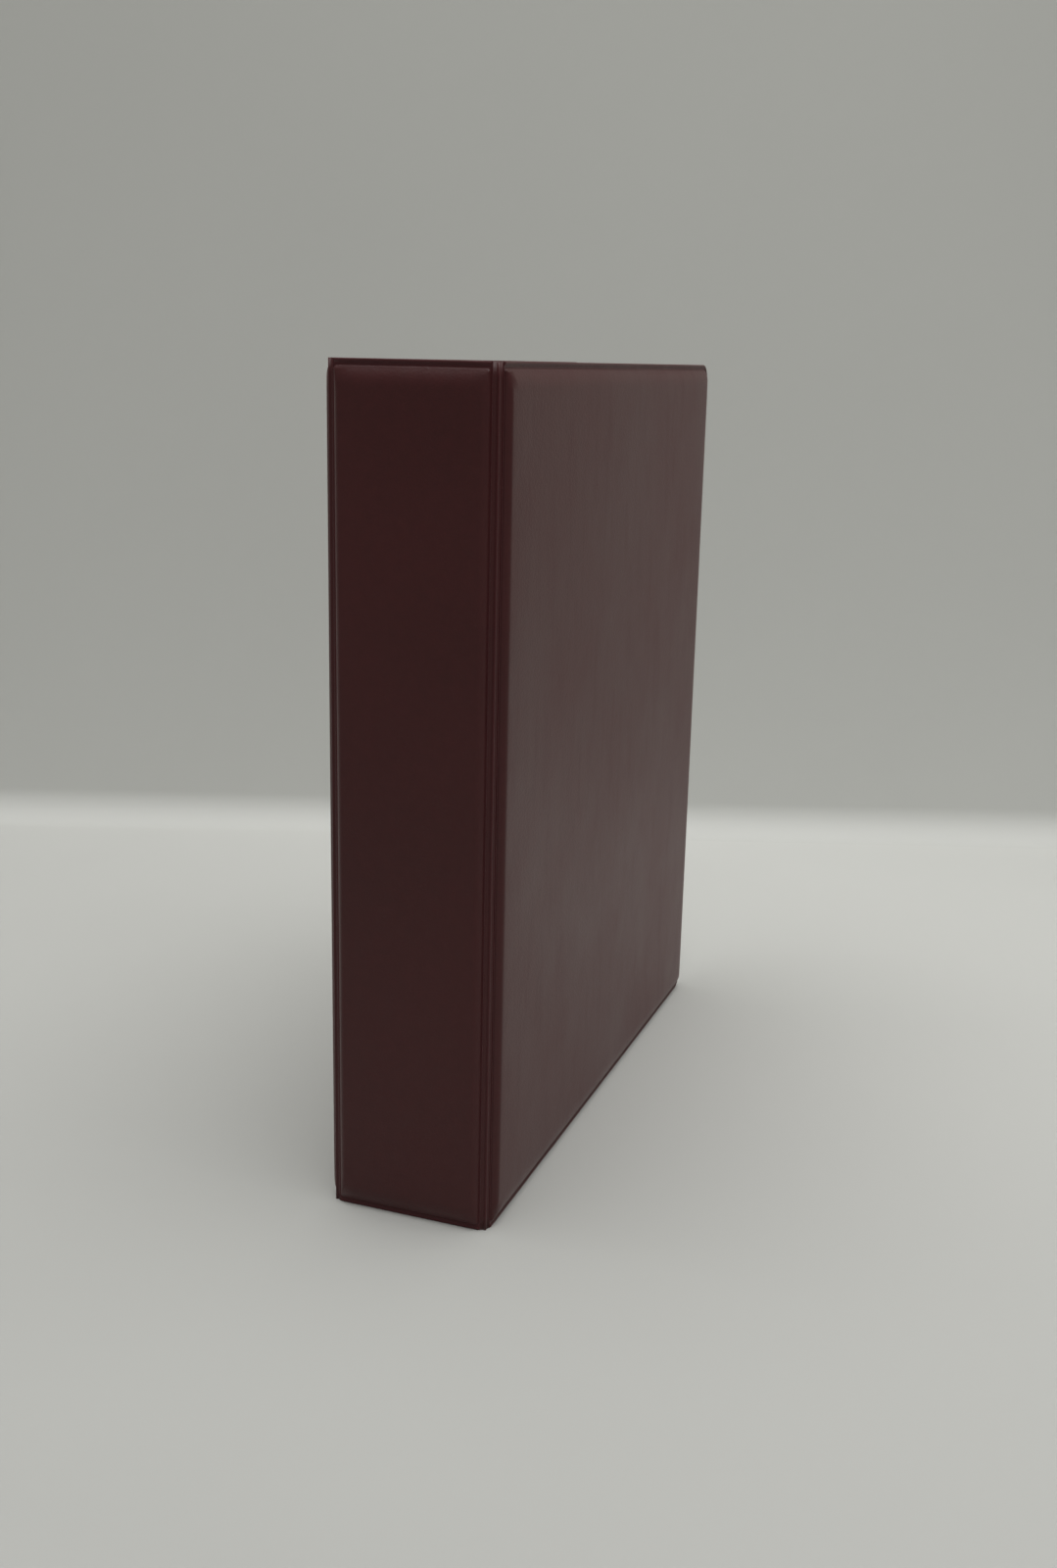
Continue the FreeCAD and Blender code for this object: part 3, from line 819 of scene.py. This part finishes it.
def dress_mechanism():
    for level in ("bottom", "middle", "top"):
        for half in ("straight", "curved"):
            dress(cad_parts[f"{half}_ring_half_{level}"], MATERIALS["ring_wire"])
    for node, finish in STEEL_FINISH.items():
        dress(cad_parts[node], MATERIALS[finish])
    for node in ("ring_cover_plate", "straight_side_blade", "curved_side_blade"):
        soften(node, SHEET_EDGE)
    for node in ("trigger_top", "trigger_bottom", "rivet_caps", "rivet_posts"):
        soften(node, LEVER_EDGE)


# ======================================================================================
# stage, light and camera
# ======================================================================================

CAMERA_AT = Vector((0.2120, -0.5939, 0.2927))
CAMERA_YAW = math.radians(19.99)
CAMERA_PITCH = math.radians(14.69)
CAMERA_ROLL = math.radians(1.27)
FOCAL_LENGTH = 37.15
SENSOR = 36.0
STAGE_REACH = 4.0


def camera():
    ahead = Vector((-math.sin(CAMERA_YAW) * math.cos(CAMERA_PITCH),
                    math.cos(CAMERA_YAW) * math.cos(CAMERA_PITCH), -math.sin(CAMERA_PITCH)))
    level = Vector((math.cos(CAMERA_YAW), math.sin(CAMERA_YAW), 0.0))
    upright = level.cross(ahead)
    right = level * math.cos(CAMERA_ROLL) + upright * math.sin(CAMERA_ROLL)
    up = upright * math.cos(CAMERA_ROLL) - level * math.sin(CAMERA_ROLL)
    data = bpy.data.cameras.new("camera")
    data.lens = FOCAL_LENGTH
    data.sensor_width = SENSOR
    data.sensor_fit = "AUTO"
    data.clip_start = 0.01
    view = bpy.data.objects.new("camera", data)
    bpy.context.scene.collection.objects.link(view)
    turn = Matrix((right, up, -ahead)).transposed().to_4x4()
    view.matrix_world = Matrix.Translation(CAMERA_AT) @ turn
    bpy.context.scene.camera = view


def floor():
    corners = [(-1, -1), (1, -1), (1, 1), (-1, 1)]
    piece = mesh_piece("floor", [(x * STAGE_REACH, y * STAGE_REACH, 0) for x, y in corners], [(0, 1, 2, 3)])
    # painted light: the floor is painted darker at the front and lighter towards the back
    paint = painted_light_paper("floor_paper", axis="Y", start=-0.30, end=0.34, first=FLOOR_NEAR_PAINTED_LIGHT, last=FLOOR_FAR_PAINTED_LIGHT)
    dress(piece, paint.material)


def wall():
    """One-sided wall behind the binder, across the camera's line of sight, with a coved foot."""
    distance = 0.373
    cove = 0.02
    top = 1.8
    steps = 16
    lift = 0.1 * MM
    profile = []
    for step in range(steps + 1):
        angle = math.radians(90 * step / steps)
        profile.append((distance - cove + cove * math.sin(angle), cove - cove * math.cos(angle)))
    profile.append((distance, top))
    away = Vector((-math.sin(CAMERA_YAW), math.cos(CAMERA_YAW), 0.0))
    across = Vector((math.cos(CAMERA_YAW), math.sin(CAMERA_YAW), 0.0))
    points = []
    for reach, height in profile:
        for side in (-1, 1):
            points.append(away * reach + across * side * STAGE_REACH + Vector((0, 0, height + lift)))
    faces = [(2 * k, 2 * k + 1, 2 * k + 3, 2 * k + 2) for k in range(len(profile) - 1)]
    mesh = bpy.data.meshes.new("wall")
    mesh.from_pydata([tuple(p) for p in points], [], faces)
    mesh.shade_smooth()
    if mesh.polygons[-1].normal.dot(away) > 0:
        mesh.flip_normals()
    piece = bpy.data.objects.new("wall", mesh)
    bpy.context.scene.collection.objects.link(piece)
    # painted light: the wall is painted lighter at its foot and darker higher up
    paint = painted_light_paper("wall_paper", axis="Z", start=0.0, end=0.50, first=WALL_LOW_PAINTED_LIGHT, last=WALL_HIGH_PAINTED_LIGHT)
    dress(piece, one_sided(paint))


def area_light(name, at, target, size, power, colour):
    data = bpy.data.lights.new(name, "AREA")
    data.shape = "RECTANGLE"
    data.size, data.size_y = size
    data.energy = power
    data.color = colour
    lamp = bpy.data.objects.new(name, data)
    bpy.context.scene.collection.objects.link(lamp)
    aim = (Vector(target) - Vector(at)).to_track_quat("-Z", "Y").to_matrix().to_4x4()
    lamp.matrix_world = Matrix.Translation(at) @ aim


def lights():
    world = bpy.data.worlds.new("soft room")
    world.use_nodes = True
    background = world.node_tree.nodes["Background"]
    background.inputs["Color"].default_value = (0.97, 0.98, 0.96, 1.0)
    background.inputs["Strength"].default_value = 0.27
    bpy.context.scene.world = world
    area_light("ceiling", at=(0.12, -0.06, 1.5), target=(0.06, -0.02, 0.0), size=(1.6, 1.8), power=29.0,
               colour=(1.0, 0.995, 0.985))
    bpy.context.scene.view_settings.view_transform = "Standard"


# ======================================================================================
# the whole scene
# ======================================================================================

MATERIALS = {
    "cover_vinyl": vinyl("cover_vinyl", MAROON, PRESSED_RED_AND_HIGHLIGHT, 0.42, 0.50, 0.45),
    "liner_vinyl": vinyl("liner_vinyl", MAROON, PRESSED_RED_AND_HIGHLIGHT, 0.45, 0.54, 0.30),
    "pocket_vinyl": vinyl("pocket_vinyl", MAROON, PRESSED_RED_AND_HIGHLIGHT, 0.38, 0.46, 0.22),
    "board": chipboard(),
    "ring_wire": plated("ring_wire", NICKEL, 0.12, 0.17, (1.0, 1.0, 0.2)),
    "plate_steel": plated("plate_steel", NICKEL, 0.17, 0.22, (1.0, 1.0, 0.05)),
    "lever_steel": plated("lever_steel", NICKEL, 0.16, 0.21, (1.0, 0.1, 1.0)),
    "blade_steel": plated("blade_steel", ZINC, 0.32, 0.42, (1.0, 1.0, 0.05)),
    "pin_steel": plated("pin_steel", ZINC, 0.25, 0.35, (1.0, 0.1, 1.0)),
    "rivet_steel": plated("rivet_steel", NICKEL, 0.15, 0.20, (1.0, 1.0, 1.0)),
}

make_panel("spine", "spine", 0, 2.0)
make_panel("front", "front_cover", 1, 11.0)
make_panel("back", "back_cover", -1, 23.0, riveted=True)
hinge_web("front_web", "front_hinge_web", 1)
hinge_web("back_web", "back_hinge_web", -1)
pocket("front_pocket_sheet", "front_pocket", "front_cover", 1, 31.0)
pocket("back_pocket_sheet", "back_pocket", "back_cover", -1, 37.0)
dress_mechanism()
floor()
wall()
lights()
camera()
